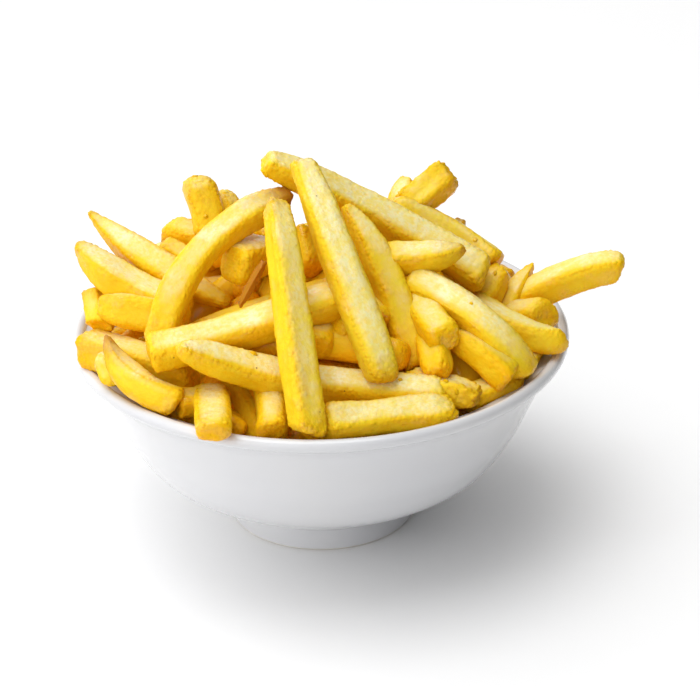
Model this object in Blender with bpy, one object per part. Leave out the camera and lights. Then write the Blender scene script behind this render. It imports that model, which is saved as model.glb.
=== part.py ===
"""French fries heaped in a white footed bowl.

Two solids: the turned bowl, and the heap, which is one body out to the outline of its fries.
Lengths in the tables and constants are millimetres; the objects are made in metres, +Z up.
The origin is on the table, under the middle of the serving's footprint.
"""

import math

import bmesh
import bpy
from mathutils import Matrix, Vector, noise

MM = 0.001
TURNS = 60  # facets round the bowl and the heap
GAP = 0.3  # clearance between the heap and the bowl

RIM_RADIUS = 80.0
BOWL_HEIGHT = 66.0
LIP_RADIUS = 2.1  # of the rounded edge
WALL = 4.0
NECK = (75.0, 61.5)  # radius and height of the wall just under the lip
FOOT_RADIUS = 30.5
FOOT_HEIGHT = 7.2
FOOT_WIDTH = 5.0
FOOT_ROUNDING = 1.2
RECESS = 4.0  # the hollow under the foot
FLOOR_HEIGHT = 11.5  # the bowl's inside, at its middle
# radius and height of the outer wall from the foot up to the neck
BODY = ((30.0, FOOT_HEIGHT), (40.7, 13.8), (56.3, 23.9), (64.3, 35.1), (69.4, 46.3), (73.8, 56.4), NECK)

HEAP_SIDE = 1.5  # how far the heap's side is drawn into the wall before it is cut back
HEAP_EDGE = -9.0  # where the heap leaves the wall, from the rim's plane
CORE_PEAK = 33.0
CORE_ROUNDNESS = 1.35
BACK_HEIGHT = 28.0  # the top is cut off by a plane this high at the axis ...
BACK_SLOPE = 0.45  # ... that falls this much towards the back
UNEVENNESS = 3.0
LUMP_SIZE = 22.0
BENDS = 4  # straight lengths along a bent fry

# The fries that show, in millimetres from the middle of the rim: x to the right, y to the back, z up.
# Each has its two ends, with the middle between them where it is bent, then its width and the share
# of that width left at its first and last end.
FRIES = (
    # propped against the front and the peak
    ((-5, -73, 1), (-9, -49, 29), (-13, -21, 51), 9.6, 1.0, 0.8),
    ((17, -54, 7), (7, -33, 35), (-5, -7, 59), 11.0, 1.0, 0.85),
    ((28, -38, 2), (20, -20, 28), (8, -4, 44), 11.2, 1.0, 0.7),
    ((-11, 2, 45), (-35, -22, 38), (-49, -40, 15), 9.8, 0.75, 1.0),
    ((-17, 3, 56), (18, 4, 38), (53, -9, 20), 10.6, 1.0, 1.0),
    ((22, 14, 35), (42, 12, 25), (56, 4, 17), 8.5, 1.0, 1.0),
    # across the front
    ((-53, -48, 15), (-25, -42, 19), (10, -31, 26), 11.2, 1.0, 1.0),
    ((-43, -56, 13), (-1, -46, 5), (39, -50, -1), 10.4, 0.5, 1.0),
    ((32, -40, -3), (47, -50, -1), 10.0, 1.0, 0.9),
    ((4, -68, 1), (40, -64, 1), 10.5, 0.9, 0.8),
    ((-32, -81, 6), (-34, -46, 2), 10.5, 1.0, 1.0),
    ((-15, -69, -3), (-16, -45, 2), 10.2, 1.0, 1.0),
    ((-44, -54, 0), (-35, -50, 0), 8.0, 1.0, 1.0),
    # left side
    ((-72, 8, 37), (-54, -6, 27), (-28, -18, 17), 10.2, 0.3, 0.4),
    ((-76, -4, 32), (-63, -14, 24), (-40, -22, 15), 10.8, 0.4, 1.0),
    ((-70, -18, 17), (-46, -25, 16), 10.0, 1.0, 1.0),
    ((-71, -8, 19), (-69, -22, 11), 7.5, 1.0, 1.0),
    ((-74, -22, 5), (-39, -42, 1), 11.5, 1.0, 1.0),
    ((-65, -36, 12), (-56, -48, 6), (-43, -55, 1), 10.6, 0.35, 1.0),
    ((-38, 12, 48), (-34, 4, 29), 9.0, 0.85, 1.0),
    ((-29, 18, 36), (-28, 8, 28), 8.0, 0.7, 1.0),
    ((-49, 14, 28), (-27, 6, 24), 11.5, 0.8, 1.0),
    ((-50, 0, 29), (-38, -4, 23), 7.0, 1.0, 1.0),
    ((-26, -22, 32), (-16, -4, 28), 10.5, 1.0, 1.0),
    ((-6, -2, 34), (-2, -14, 26), 9.0, 1.0, 1.0),
    # right side
    ((43, 24, 43), (28, 17, 33), 8.8, 1.0, 1.0),
    ((29, 32, 38), (25, 20, 26), 8.5, 0.4, 1.0),
    ((47, 22, 27), (40, 12, 20), 6.0, 0.5, 1.0),
    ((45, -16, 33), (20, -16, 30), 8.8, 0.4, 1.0),
    ((62, -37, 0), (49, -33, 16), (27, -18, 25), 10.5, 1.0, 1.0),
    ((97, 0, 18), (78, 0, 13), (58, 2, 1), 9.4, 0.75, 1.0),
    ((76, -22, 5), (65, -22, 6), (47, -8, 11), 9.3, 0.7, 1.0),
    ((56, -47, 3), (41, -34, 12), 11.2, 1.0, 1.0),
    ((36, -43, 15), (35, -25, 15), 11.2, 0.7, 1.0),
    ((35, -55, 9), (34, -38, 8), 8.0, 0.7, 1.0),
    ((59, -36, -3), (42, -49, -4), 9.0, 1.0, 1.0),
    ((72, -14, 8), (60, -2, 3), 10.5, 1.0, 1.0),
    ((59, 2, 17), (51, -6, 9), 7.5, 1.0, 1.0),
    ((67, 4, 14), (58, -4, 3), 8.0, 0.5, 1.0),
    # back
    ((-50, 50, 4), (10, 22, 25), 10.5, 1.0, 1.0),
    ((50, 48, -8), (-8, 28, 21), 10.0, 1.0, 0.9),
    ((-20, 72, 2), (-16, 8, 26), 10.5, 0.9, 1.0),
    ((16, 71, 3), (26, 5, 27), 10.0, 1.0, 1.0),
    ((36, 64, -3), (6, 12, 28), 9.5, 1.0, 0.8),
    ((-62, 30, 4), (-26, 14, 22), 10.5, 0.9, 1.0),
    ((-42, 57, 2), (-38, 8, 20), 10.0, 1.0, 1.0),
    ((-56, 44, 0), (22, 56, 7), 10.0, 0.8, 1.0),
    ((66, 26, -7), (36, 2, 16), 10.5, 1.0, 1.0),
)

PORCELAIN = ("porcelain", (0.88, 0.88, 0.89), 0.12)
FRIED_POTATO = ("fried potato", (0.83, 0.58, 0.13), 0.42)


def clear_scene():
    for obj in list(bpy.data.objects):
        bpy.data.objects.remove(obj)


def painted(obj, finish):
    name, colour, roughness = finish
    material = bpy.data.materials.new(name)
    material.use_nodes = True
    shader = material.node_tree.nodes["Principled BSDF"]
    shader.inputs["Base Color"].default_value = (*colour, 1.0)
    shader.inputs["Roughness"].default_value = roughness
    obj.data.materials.append(material)


def new_object(name, bm):
    mesh = bpy.data.meshes.new(name)
    bm.to_mesh(mesh)
    bm.free()
    obj = bpy.data.objects.new(name, mesh)
    bpy.context.scene.collection.objects.link(obj)
    return obj


def smooth_through(stations, steps):
    """Points of a Catmull-Rom curve through the stations, steps to each span, both ends included."""
    known = [Vector(s) for s in stations]
    known = [2 * known[0] - known[1], *known, 2 * known[-1] - known[-2]]
    points = []
    for before, start, end, after in zip(known, known[1:], known[2:], known[3:]):
        for i in range(steps):
            t = i / steps
            points.append(
                0.5
                * (
                    2 * start
                    + (end - before) * t
                    + (2 * before - 5 * start + 4 * end - after) * t**2
                    + (3 * start - before - 3 * end + after) * t**3
                )
            )
    return [*points, known[-2]]


def arc(centre, radius, first, last, steps):
    """Points on a circle of the profile plane, from the first angle to the last in degrees."""
    angles = [math.radians(first + (last - first) * i / steps) for i in range(steps + 1)]
    return [Vector((centre[0] + radius * math.cos(a), centre[1] + radius * math.sin(a))) for a in angles]


def offset(points, distance):
    """The open outline moved to its left, which is the inside of a wall drawn upwards."""
    moved = []
    for i, point in enumerate(points):
        run = points[min(i + 1, len(points) - 1)] - points[max(i - 1, 0)]
        moved.append(point + distance * Vector((-run.y, run.x)).normalized())
    return moved


def inner_wall(distance):
    """The bowl's inside from the lip down to its middle, moved by distance towards the contents."""
    wall = offset(smooth_through(BODY[2:], 2), WALL + distance)[::-1]
    floor = [Vector((38.0, 15.6 + distance)), Vector((20.0, 12.2 + distance))]
    return [*wall, *floor, Vector((0.0, FLOOR_HEIGHT + distance))]


def bowl_profile(growth):
    """The bowl's outline from the axis underneath, out and up to the lip, and back down inside."""
    corner = FOOT_ROUNDING
    ring_inside = FOOT_RADIUS - FOOT_WIDTH
    lip = (RIM_RADIUS - LIP_RADIUS, BOWL_HEIGHT - LIP_RADIUS)
    return [
        Vector((0.0, RECESS - growth)),
        Vector((ring_inside - growth, RECESS - growth)),
        *arc((ring_inside + corner, corner), corner + growth, 180, 270, 2),
        *arc((FOOT_RADIUS - corner, corner), corner + growth, 270, 360, 2),
        *offset(smooth_through(BODY, 2), -growth),
        *arc(lip, LIP_RADIUS + growth, -60, 180, 8),
        *inner_wall(growth),
    ]


def turned(profile):
    """A closed bmesh turned about the Z axis from a profile whose two ends lie on it."""
    bm = bmesh.new()
    points = [bm.verts.new((p.x * MM, 0, p.y * MM)) for p in profile]
    edges = [bm.edges.new(pair) for pair in zip(points, points[1:])]
    bmesh.ops.spin(bm, geom=points + edges, axis=(0, 0, 1), angle=2 * math.pi, steps=TURNS, use_merge=True)
    bmesh.ops.remove_doubles(bm, verts=bm.verts, dist=1e-6)
    bmesh.ops.recalc_face_normals(bm, faces=bm.faces)
    return bm


def make_bowl():
    bowl = new_object("bowl", turned(bowl_profile(0.0)))
    bowl.data.shade_smooth()
    bowl.data.set_sharp_from_angle(angle=math.radians(40))
    painted(bowl, PORCELAIN)
    return bowl


def core_height(point):
    """Height over the rim's plane of the fries packed under the ones that show."""
    share = min(point.xy.length / RIM_RADIUS, 1.0)
    dome = CORE_PEAK * (1 - share**CORE_ROUNDNESS) + HEAP_EDGE * share**4
    lumps = UNEVENNESS * noise.noise(point / LUMP_SIZE)
    return min(dome, BACK_HEIGHT - BACK_SLOPE * point.y) + lumps * (1 - share)


def make_core():
    """The packed inside of the heap: the bowl's hollow, with a lumpy mound over it."""
    side = [p for p in inner_wall(-HEAP_SIDE) if p.y < BOWL_HEIGHT + HEAP_EDGE]
    edge = side[0].x
    mound = [Vector((edge * i / 7, BOWL_HEIGHT)) for i in range(7)]
    bm = turned([*mound, Vector((edge, BOWL_HEIGHT + HEAP_EDGE)), *side])
    for vert in bm.verts:
        if vert.co.z > (BOWL_HEIGHT - 1) * MM:
            vert.co.z = (BOWL_HEIGHT + core_height(vert.co / MM)) * MM
    return new_object("heap", bm)


def bend(points):
    """A function from 0 to 1 along the parabola through the two ends and the middle, if one is given."""
    start, end = Vector(points[0]), Vector(points[-1])
    middle = Vector(points[1]) if len(points) == 3 else (start + end) / 2
    pull = 2 * middle - (start + end) / 2
    return lambda t: (1 - t) ** 2 * start + 2 * t * (1 - t) * pull + t**2 * end


def make_bar(points, width, tail, head):
    """One fry of the heap: a square bar, cut into lengths and bent along its parabola."""
    path = bend(points)
    bm = bmesh.new()
    bmesh.ops.create_cube(bm, size=1.0, matrix=Matrix.Translation((0, 0, 0.5)))
    if len(points) == 3:
        long_edges = [e for e in bm.edges if abs(e.verts[0].co.z - e.verts[1].co.z) > 0.5]
        bmesh.ops.subdivide_edges(bm, edges=long_edges, cuts=BENDS - 1)
    for vert in bm.verts:
        x, y, t = vert.co
        ahead = (path(min(t + 0.01, 1)) - path(max(t - 0.01, 0))).normalized()
        across = Vector((0, 0, 1)).cross(ahead).normalized()
        over = ahead.cross(across)
        size = width * min(1.0, tail + 4 * (1 - tail) * t, head + 4 * (1 - head) * (1 - t))
        place = path(t) + size * (x * across + y * over)
        vert.co = (place + Vector((0, 0, BOWL_HEIGHT))) * MM
    return new_object("fry", bm)


def helper(obj):
    obj.hide_render = True
    obj.display_type = "WIRE"
    return obj


def make_heap():
    """Core and bars made one body, then cut back from the bowl by the gap."""
    heap = make_core()
    bars = bpy.data.collections.new("bars")
    bpy.context.scene.collection.children.link(bars)
    bars.hide_render = True
    for *points, width, tail, head in FRIES:
        bar = helper(make_bar(points, width, tail, head))
        bpy.context.scene.collection.objects.unlink(bar)
        bars.objects.link(bar)
    union = heap.modifiers.new("fries", "BOOLEAN")
    union.operation = "UNION"
    union.operand_type = "COLLECTION"
    union.collection = bars
    cutter = helper(new_object("bowl_with_gap", turned(bowl_profile(GAP))))
    cut = heap.modifiers.new("bowl", "BOOLEAN")
    cut.operation = "DIFFERENCE"
    cut.object = cutter
    painted(heap, FRIED_POTATO)
    return heap


def box_of(obj):
    graph = bpy.context.evaluated_depsgraph_get()
    corners = [Vector(c) for c in obj.evaluated_get(graph).bound_box]
    return [min(c[i] for c in corners) for i in range(3)], [max(c[i] for c in corners) for i in range(3)]


def centre_on_footprint(solids):
    """Moves everything so that the origin is under the middle of the two solids' common box."""
    boxes = [box_of(solid) for solid in solids]
    low = [min(box[0][i] for box in boxes) for i in range(3)]
    high = [max(box[1][i] for box in boxes) for i in range(3)]
    shift = Vector((-(low[0] + high[0]) / 2, -(low[1] + high[1]) / 2, -low[2]))
    for obj in bpy.data.objects:
        obj.location = shift


clear_scene()
centre_on_footprint([make_bowl(), make_heap()])
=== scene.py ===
"""French fries heaped in a white footed bowl: the looks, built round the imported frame.

Each operator makes one piece, or one kind of fry joined into one mesh. Lengths in the tables and
in the functions that shape fries are millimetres from the middle of the rim, x to the right, y to
the back and z up. Meshes are in metres.
"""

import math
import random
from typing import NamedTuple

import bmesh
import bpy
import numpy as np
from mathutils import Matrix, Vector, noise
from mathutils.bvhtree import BVHTree


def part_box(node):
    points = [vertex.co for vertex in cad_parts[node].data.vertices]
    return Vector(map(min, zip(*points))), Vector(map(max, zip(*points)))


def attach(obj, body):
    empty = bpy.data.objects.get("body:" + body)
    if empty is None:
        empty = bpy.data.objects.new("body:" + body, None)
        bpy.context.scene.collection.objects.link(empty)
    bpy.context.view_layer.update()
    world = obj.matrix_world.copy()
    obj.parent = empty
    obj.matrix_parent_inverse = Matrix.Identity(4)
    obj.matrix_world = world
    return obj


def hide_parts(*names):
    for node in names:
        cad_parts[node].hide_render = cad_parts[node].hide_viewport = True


bl_info = {
    "name": "Bowl of French Fries",
    "version": (1, 0, 0),
    "blender": (4, 5, 0),
    "location": "View3D > Sidebar > Fries",
    "description": "Builds a white footed bowl heaped with fries, with its stage",
    "category": "Object",
}

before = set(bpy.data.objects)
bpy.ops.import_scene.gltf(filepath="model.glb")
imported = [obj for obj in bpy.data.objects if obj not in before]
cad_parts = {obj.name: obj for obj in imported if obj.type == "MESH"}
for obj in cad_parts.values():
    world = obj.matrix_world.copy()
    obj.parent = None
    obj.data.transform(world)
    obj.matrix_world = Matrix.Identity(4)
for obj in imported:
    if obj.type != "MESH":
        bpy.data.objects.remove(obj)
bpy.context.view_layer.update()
BOWL_LOW, BOWL_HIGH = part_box("bowl")

MM = 0.001
BODY = "root"
RIM_MIDDLE = Vector(((BOWL_LOW.x + BOWL_HIGH.x) / 2, (BOWL_LOW.y + BOWL_HIGH.y) / 2, BOWL_HIGH.z))
RIM_RADIUS = (BOWL_HIGH.x - BOWL_LOW.x) / 2 / MM
BOWL_HEIGHT = (BOWL_HIGH.z - BOWL_LOW.z) / MM
MERGE_DISTANCE = 1e-6  # metres
TINY = 1e-6  # less than this is nothing
NO_LENGTH = 1e-9  # keeps a division by a length of nought harmless

# The bowl's outline, as its solid has it: millimetres from the axis and from the table.
LIP_RADIUS = 2.1
WALL = 4.0
NECK = (75.0, 61.5)
FOOT_RADIUS = 30.5
FOOT_HEIGHT = 7.2
FOOT_WIDTH = 5.0
FOOT_ROUNDING = 1.2
RECESS = 4.0
RECESS_ROUNDING = 0.6
FLOOR_HEIGHT = 11.5
OUTER_WALL = (
    (30.0, FOOT_HEIGHT),
    (40.7, 13.8),
    (56.3, 23.9),
    (64.3, 35.1),
    (69.4, 46.3),
    (73.8, 56.4),
    NECK,
)
INNER_FLOOR = ((38.0, 15.6), (20.0, 12.2), (0.0, FLOOR_HEIGHT))
PROFILE_STEPS = 6  # divisions of each span and of each small corner
LIP_STEPS = 20

# The heap's dome over the rim, and the plane that cuts its back.
DOME_PEAK = 33.0
DOME_ROUNDNESS = 1.35
DOME_EDGE = -9.0
BACK_HEIGHT = 28.0
BACK_SLOPE = 0.45

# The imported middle, well under the dome.
CORE_DEPTH = 15.0
CORE_CLEARANCE = 4.0  # from the bowl's inside
CORE_BANK = 6.0  # how far under its own level the wall of the core ends
CORE_TURNS, CORE_RINGS = 72, 16
CORE_LUMPS, CORE_LUMP_SIZE = 3.0, 9.0
# the middle is toned deep with much crust so it reads amber deep in the gaps: partly painted shade
CORE_CRUST, CORE_TONE_AND_GAP_SHADE = 0.8, 1.0

# How a fry departs from a plain bar.
END_CROWDING = 0.55  # how much closer the mesh divisions are at its ends than halfway
TWIST = 14.0  # most degrees from one end to the other
CORNER = (0.5, 0.8)  # rounding of the section, as a share of half the width
NOSE = (0.24, 0.4)  # rounding of the ends, as a share of the width
DISH = (-0.05, 0.06)  # how far a face bulges or sinks, as a share of half the width
FLATNESS_SPREAD = 0.03
WANDER, WANDER_LENGTH = 0.09, 16.0  # how the width comes and goes along it
LEAN, LEAN_REACH = 0.35, 1.3  # slope of a cut end, and the widths over which it fades
DIMPLE, DIMPLE_REACH = (0.2, 1.6), 1.05  # its depth, and how far in it reaches, in noses
SWAY = 0.6
LUMP_SIZE, SMALL_LUMP_SIZE, SMALL_LUMPS = 11.0, 4.2, 0.35
LUMP_STRETCH = 0.4  # lumps are longer along the fry
GRAIN_SIZE, GRAIN_HEIGHT = 1.9, 0.2
BLISTER_SIZE, EDGE_BLISTERS = 1.25, 0.8
CORNER_GOLD, CORNER_FADE = 0.8, 2.2
BLISTERED_END, GOLDEN_END, BROWNED_END = 0.35, 0.3, 0.9  # fading from an end, in widths
TONE_SPREAD = 0.2
SHIFT, GRAIN_SHIFT = 50, 20  # keep the lumps and the pattern of one fry unlike the next one's

# Colours of the small marks.
PINHOLE = (0.55, 0.52, 0.48)
DARK_SPOT = (0.16, 0.06, 0.01)

BLUNT = (0.05, 0.92)  # share of the length over which an end narrows, and the width left at it


class Fry(NamedTuple):
    """One fry: its ends, with its middle between them where it is bent, and its cut and frying."""

    points: tuple
    width: float
    roll: float = 0.0
    tail: tuple = BLUNT
    head: tuple = BLUNT
    tone: float = 0.0  # -1 is pale and 1 a deep gold
    brown: tuple = (0.0, 0.0)  # how dark its two ends are fried
    flat: float = 0.97  # thickness as a share of the width
    lumps: float = 1.0  # how much more uneven than the others
    crisp: float = 0.0  # how dark all of it is fried


LONG_FRIES = (
    # propped against the front and the peak
    Fry(((-4, -73.5, -0.5), (-8.5, -49, 29), (-13, -20, 52)), 9.6, -22,
        head=(0.35, 0.72), tone=-0.5, brown=(0.2, 0.3)),
    Fry(((19, -54, 6.5), (7.5, -33, 35), (-5.5, -5.5, 61)), 10.6, 5,
        tail=(0.1, 0.85), head=(0.3, 0.72), tone=-0.6, brown=(0.45, 0.35)),
    Fry(((28, -38, 2), (20, -20, 28), (8, -4, 44)), 10.6, 4, head=(0.5, 0.3), tone=0.0),
    Fry(((-17, 3, 56), (18, 4, 38), (53, -9, 20)), 10.6, -32,
        tail=(0.3, 0.62), tone=-0.6, brown=(0.0, 0.3)),
    # across the front
    Fry(((-53, -48, 15), (-25, -42, 19), (10, -31, 26)), 11.2, -28, tone=-0.3),
    Fry(((-43, -56, 21), (-6, -50, 6), (39, -52, 1.4)), 10.4, -30,
        tail=(0.2, 0.5), tone=-0.3, brown=(0.0, 0.3)),
    Fry(((-1, -67, 0), (40, -58.5, -1.5)), 10.3, -28,
        tail=(0.1, 0.8), head=(0.2, 0.6), tone=0.0, lumps=1.3),
    # down the right side
    Fry(((62, -37, 0), (49, -33, 16), (28, -18, 23.5)), 11.2, 30, tone=-0.5, brown=(0.3, 0.0)),
    Fry(((97, 0, 18.5), (79, 0, 15.5), (58, 2, 1)), 9.6, 14, tail=(0.1, 0.75), tone=0.1),
    Fry(((58, -45, 1.5), (50, -39, 8), (40, -33, 11)), 8.8, -9, head=(0.3, 0.6), tone=0.3),
    # on the left
    Fry(((-70, -18, 17), (-46, -25, 16)), 10.4, 22, tail=(0.45, 0.6), tone=0.1),
    Fry(((-74, -22, 5), (-39, -42, 3)), 11.5, 0, tone=0.2),
)
TAPERED_FRIES = (
    Fry(((-8.5, 3, 44), (-35, -22, 38), (-49, -40, 15)), 9.8, 23,
        tail=(0.22, 0.5), tone=0.0, brown=(1.2, 0.1)),
    Fry(((-73.5, 8, 38.5), (-54, -6, 27), (-28, -18, 17)), 10.2, -29,
        tail=(0.6, 0.12), head=(0.45, 0.35), tone=-0.2, brown=(0.5, 0.3)),
    Fry(((-76, -4, 32), (-63, -14, 24), (-40, -22, 15)), 10.8, -7,
        tail=(0.5, 0.22), tone=-0.3, brown=(0.4, 0.0)),
    Fry(((-66, -35, 15.5), (-58, -47, 6), (-43, -55, 1)), 9.6, 28,
        tail=(0.6, 0.1), tone=0.1, brown=(1.0, 0.0)),
    Fry(((46, -16, 34), (34, -17, 31), (20, -16, 31)), 9.2, 20,
        tail=(0.5, 0.3), tone=0.0, brown=(0.6, 0.0)),
    Fry(((22, 14, 35), (42, 12, 26), (56, 4, 18)), 10.0, 42, tail=(0.1, 0.8), tone=-0.3),
    Fry(((76, -22, 5), (65, -22, 6), (47, -8, 11)), 9.3, -12,
        tail=(0.2, 0.7), tone=0.0, brown=(0.3, 0.0)),
    Fry(((29, 32, 38), (25, 20, 26)), 8.5, 2, tail=(0.5, 0.4), tone=-0.5),
    Fry(((47, 22, 27), (40, 12, 20)), 6.0, 7, tail=(0.5, 0.5), tone=0.2, brown=(0.7, 0.0)),
    Fry(((69, 8, 17.5), (58, -4, 3)), 8.0, 0, tail=(0.75, 0.12), tone=0.2),
    Fry(((-28, 8, 29), (-31, 16, 41)), 8.5, -40, head=(0.4, 0.6), tone=-0.2),
    Fry(((-68, -38, 11), (-63, -45, 2)), 6.5, 28, tail=(0.4, 0.5), head=(0.4, 0.5), tone=-0.6),
)
SHORT_FRIES = (
    # hanging over the front of the rim
    Fry(((-32, -81, 4.2), (-34, -46, 1)), 10.5, 0, tone=0.3, flat=0.7),
    Fry(((-15, -69, -3), (-16, -45, 2)), 10.2, 0, tone=0.4),
    Fry(((-44, -54, 0), (-35, -50, 0)), 8.0, -13, tone=0.3),
    # on the left
    Fry(((-71, -8, 19), (-69, -22, 11)), 7.5, -43, tone=0.1, brown=(0.5, 0.0)),
    Fry(((-38, 12, 48), (-34, 4, 29)), 10.4, -14, tail=(0.2, 0.85), tone=-0.2, brown=(0.3, 0.0)),
    Fry(((-49, 14, 28), (-27, 6, 24)), 11.5, -8, tail=(0.2, 0.8), tone=0.2),
    Fry(((-50, 0, 29), (-38, -4, 23)), 7.0, -22, tone=0.2),
    Fry(((-27, -22, 32), (-17, -4, 29)), 12.0, -8, tone=-0.3),
    Fry(((-6, -2, 34), (-2, -14, 26)), 9.0, 38, tone=0.3),
    # on the right
    Fry(((43, 24, 43), (28, 17, 33)), 10.4, 35,
        tail=(0.2, 0.8), tone=0.0, brown=(0.4, 0.0), lumps=2.0),
    Fry(((38.5, -43, 14.5), (29.5, -22, 19.5)), 9.8, 12, tail=(0.15, 0.85), tone=0.0),
    Fry(((36, -49.5, 6.5), (33, -31, 13)), 8.6, 24, tail=(0.3, 0.7), tone=0.5, lumps=1.3),
    Fry(((60.5, -35, -2.5), (44, -49, -4)), 9.0, 11, tone=0.3, brown=(0.3, 0.0)),
    Fry(((69.5, -13, -0.5), (60, -34, -2)), 8.5, 20, tone=0.2),
    Fry(((72, -14, 8), (60, -2, 3)), 10.5, 25, tone=0.2, brown=(0.3, 0.0)),
    Fry(((59, 2, 17), (51, -6, 9)), 7.5, 4, tone=0.2),
    Fry(((26, -44, 3), (48.5, -53.5, 0.5)), 11.0, 12,
        head=(0.5, 0.55), tone=0.1, brown=(0.0, 0.4), flat=0.8, lumps=1.7),
)
BACK_FRIES = (
    Fry(((-50, 50, 9), (-20, 36, 19)), 10.5, -27, tone=-0.2),
    Fry(((50, 48, -9), (-8, 28, 18)), 10.0, 30, tone=0.1, head=(0.1, 0.8)),
    Fry(((-20, 72, 2), (-16, 8, 26)), 10.5, 13, tone=-0.3, tail=(0.1, 0.8)),
    Fry(((16, 71, 3), (26, 5, 27)), 10.0, -25, tone=0.0),
    Fry(((38, 62, 4), (5, 15, 35)), 9.5, -44, tone=0.3, head=(0.2, 0.6)),
    Fry(((-62, 30, 4), (-26, 14, 32)), 10.5, -32, tone=0.1, tail=(0.1, 0.8)),
    Fry(((-42, 57, 2), (-38, 8, 20)), 10.0, -10, tone=-0.1),
    Fry(((-56, 44, -4), (22, 56, 2)), 10.0, -20, tone=0.2, tail=(0.2, 0.6)),
    Fry(((66, 26, -7), (36, 2, 16)), 10.5, 41, tone=-0.2),
)
CRISP_SLIVERS = (
    Fry(((-25, -34, 23), (-17, -24, 34)), 2.8, 6,
        tail=(0.3, 0.4), head=(0.3, 0.4), tone=1.0, crisp=1.05),
)

# Crumbs: where the ones that matter lie across the heap, and how the others fall.
CRUMB_PLACES = (
    (-28, -30), (41, -55), (43, -53), (50, 6), (53, 2),
    (56, -2), (60, -12), (64, -14), (24, -52), (38, -52),
)
CRUMB_REACH = 68.0  # how far from the middle the other crumbs fall
CRUMB_SIZES = ((0.5, 1.4), (0.4, 0.9), (0.25, 0.5))
CRUMB_LUMPS, CRUMB_LUMPINESS = 0.5, 1.7  # height of its lumps, and how many there are across it
CRUMB_CRUST, CRUMB_TONE, CRUMB_BROWN = 0.7, 0.1, (0.0, 0.2)
DROP_HEIGHT = 120.0
STEEPEST = 0.25  # a crumb rolls off a face whose normal rises less than this

# Mesh divisions across a fry, and the millimetres between them along it.
SHOWN_ACROSS = 12
SHOWN_STEP = 0.9
INNER_ACROSS = 6
INNER_STEP = 2.2
FEWEST_ALONG = 8

# Seeds: each kind's own comes on top of the setting, and each fry's on top of that.
SEED_STEP = 1000
INNER_SEED, CRUMB_SEED = 6, 99

# The fries packed inside: two layers under the dome, each spread in a spiral.
LAYER_DEPTHS = (6.0, 15.5)
SPREAD = 64.0
SPIRAL_TURN, TURN_SPREAD = 2.39996, 0.3
EDGE_OF_LONG = 50.0  # fries further out than this are shorter
LONG, SHORT = (42, 78), (32, 56)
SLOPE_STEP, SLOPE_SHARE, SLOPE_SPREAD = 6, 0.8, 0.15  # how closely a fry follows the dome's slope
SIDE_BOW, UPWARD_BOW = (-4, 4), (-1, 4)
THICKNESS = (8.6, 11.0)
BEADS = 7  # balls along a fry that stand for it while it is pushed about
ROUNDS = 160
PUSH_SHARE, MOST_MOVE, MOST_SPIN = 0.35, 1.5, 0.05
ROOM_OVER_RIM = 71.0
LIFT, SINK = 0.25, 0.8  # upwards for each millimetre into the wall, and down for each one too high
LEAST_AHEAD, MOST_BACK = -2, 3.0  # when a fry hides another, and how far it is pushed back at once
INNER_ROLL = 45.0
# the packed fries are toned deep so the gaps between the ones that show read amber: partly painted
# shade
INNER_TONES_AND_GAP_SHADE = (0.5, 1.0)

# The front view, in which no inner fry may hide one that shows or rise over the outline.
TO_VIEW = np.array((0.0, -0.8997, 0.4365))
VIEW_SHARES = (0.4365, 0.9)  # how far y and z each carry a point up the view
SKYLINE_X = (-75, -60, -50, -40, -30, -15, -5, 0, 20, 40, 50, 55, 60, 70)
SKYLINE_HEIGHT = (10, 22, 29, 34, 36, 34, 34, 48, 44, 31, 27, 20, 15, 12)

# The stage: lights in metres, the camera's distance in millimetres.
FLOOR_SIZE = 8.0
KEY_PLACE, KEY_SIZE = (-0.15, -0.05, 1.1), (0.8, 0.8)
FILL_PLACE, FILL_SIZE = (-1.1, -0.9, 0.45), (0.9, 0.7)
LIGHTS_AIM = (0, 0, 0.05)
ROOM_TURNS_DARK = (-0.3, 0.55)  # where the room begins and ends to darken towards the right
DARK_SIDE = 0.03
CAMERA_ELEVATION = 25.88
CAMERA_DISTANCE = 900.0
CAMERA_LENS = 143.8
CAMERA_ROLL = -1.02
SENSOR_WIDTH = 36.0
FRAME_PARTS = 700
RIM_SHIFT = (-29.4, -24.8)  # from the frame's middle to the rim's, in parts of the frame's width


# ---------------------------------------------------------------- settings


class BowlSettings(bpy.types.PropertyGroup):
    turns: bpy.props.IntProperty(
        name="Turns", description="Facets round the bowl", default=180, min=24
    )
    glaze: bpy.props.FloatVectorProperty(
        name="Glaze",
        description="Colour of the glaze",
        default=(0.66, 0.66, 0.67),
        subtype="COLOR",
        min=0,
        max=1,
    )
    bisque: bpy.props.FloatVectorProperty(
        name="Bisque",
        description="Colour of the bare ring it stands on",
        default=(0.72, 0.69, 0.64),
        subtype="COLOR",
        min=0,
        max=1,
    )
    gloss: bpy.props.FloatProperty(
        name="Roughness",
        description="Roughness of the glaze",
        default=0.16,
        min=0,
        max=1,
        subtype="FACTOR",
    )


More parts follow.
